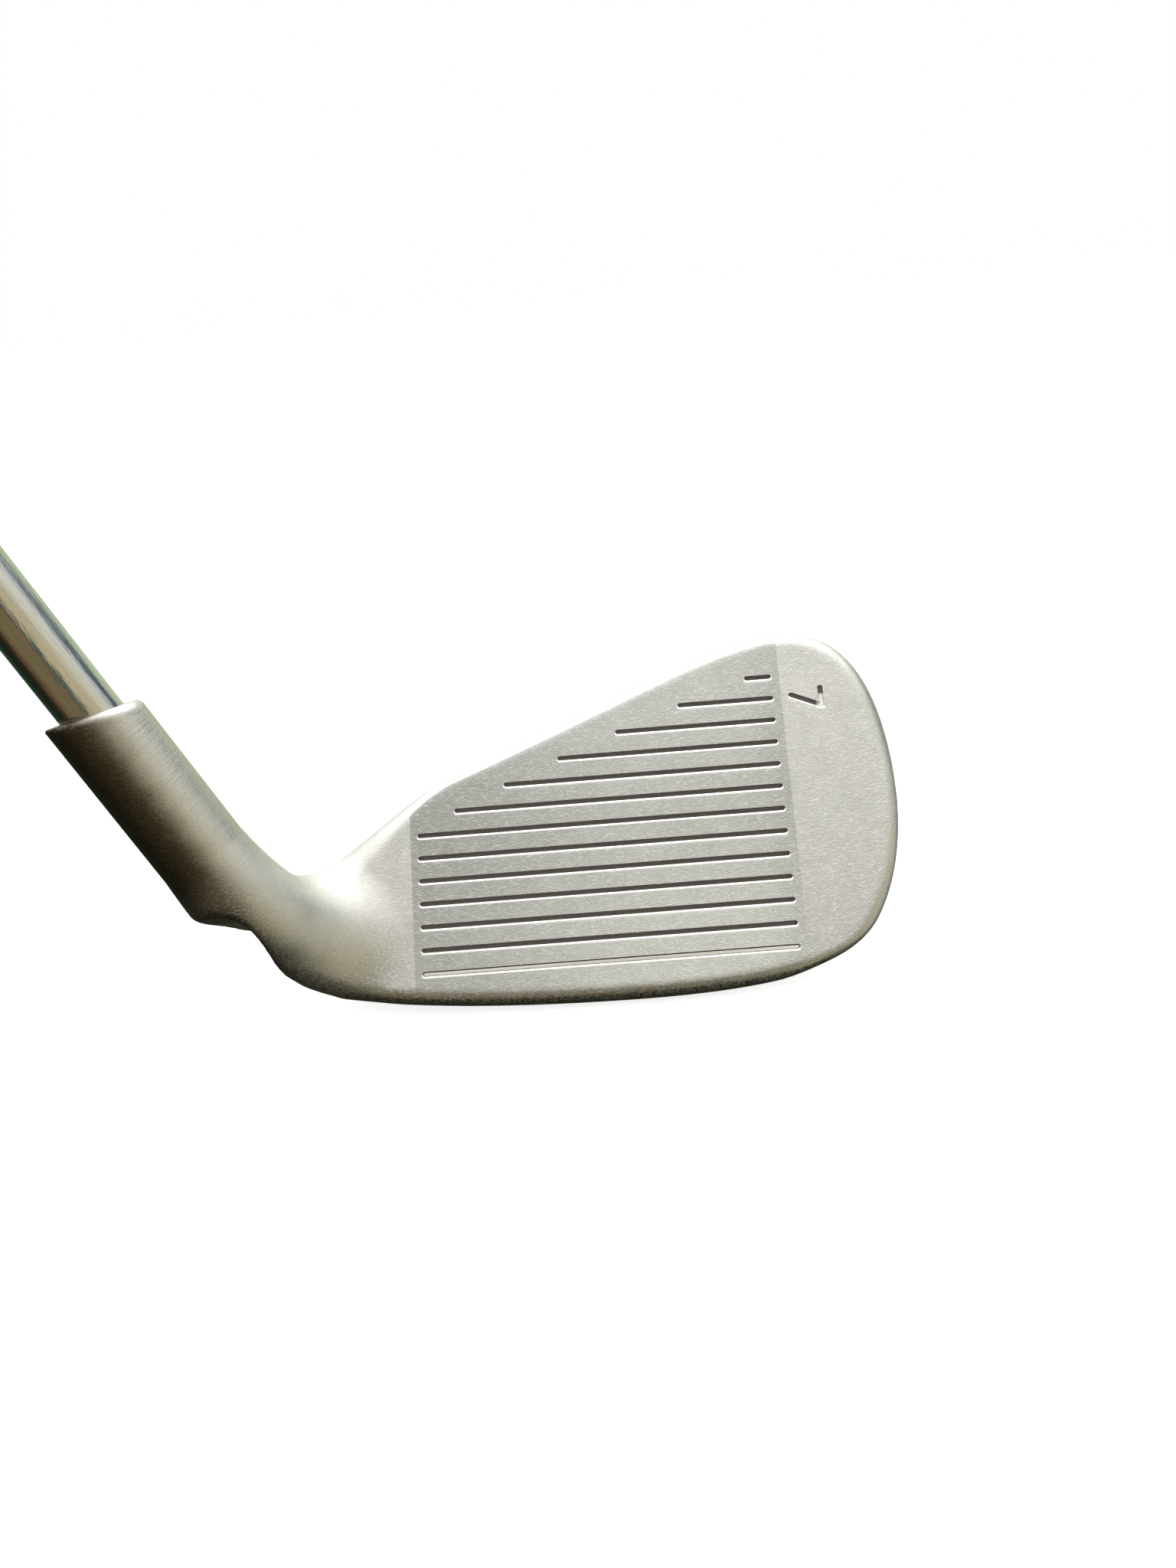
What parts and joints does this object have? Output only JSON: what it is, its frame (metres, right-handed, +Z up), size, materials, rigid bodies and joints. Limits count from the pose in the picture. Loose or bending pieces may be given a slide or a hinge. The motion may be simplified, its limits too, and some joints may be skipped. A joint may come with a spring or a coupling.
{
  "type": "iron golf club",
  "caption": "Left-handed cavity-back iron with a lofted, scored face, a slanted hosel, a stepped steel shaft and a rubber grip.",
  "frame": {"origin": "lowest point of the sole, with the club standing at address", "axes": "+Z up; +X from heel to toe; -Y is the side that the lofted face looks towards; the shaft leans up towards -X in the XZ direction"},
  "size_m": [0.5531, 0.0475, 0.8293],
  "materials": {
    "cast_steel": "blasted hitting area, satin toe, heel and hosel",
    "chrome_shaft": "polished chrome plate",
    "white_paint": "paint fill",
    "badge_pad": "matt elastomer",
    "badge_plate": "fine brushed",
    "epoxy": "cured glue",
    "plug_brass": "turned",
    "cork": "raw cork",
    "label": "blank band",
    "tape": "creped paper tape",
    "grip_rubber": "matt moulded rubber"
  },
  "bodies": {
    "root": {"head": "cast_steel", "scoreline_paint": "white_paint", "badge_pad": "badge_pad", "badge_plate": "badge_plate", "hosel_epoxy": "epoxy", "tip_plug": "plug_brass", "tip_cork": "cork", "shaft": "chrome_shaft", "shaft_label": "label", "grip_tape": "tape", "grip": "grip_rubber", "grip_cap": "grip_rubber"}
  },
  "joints": []
}
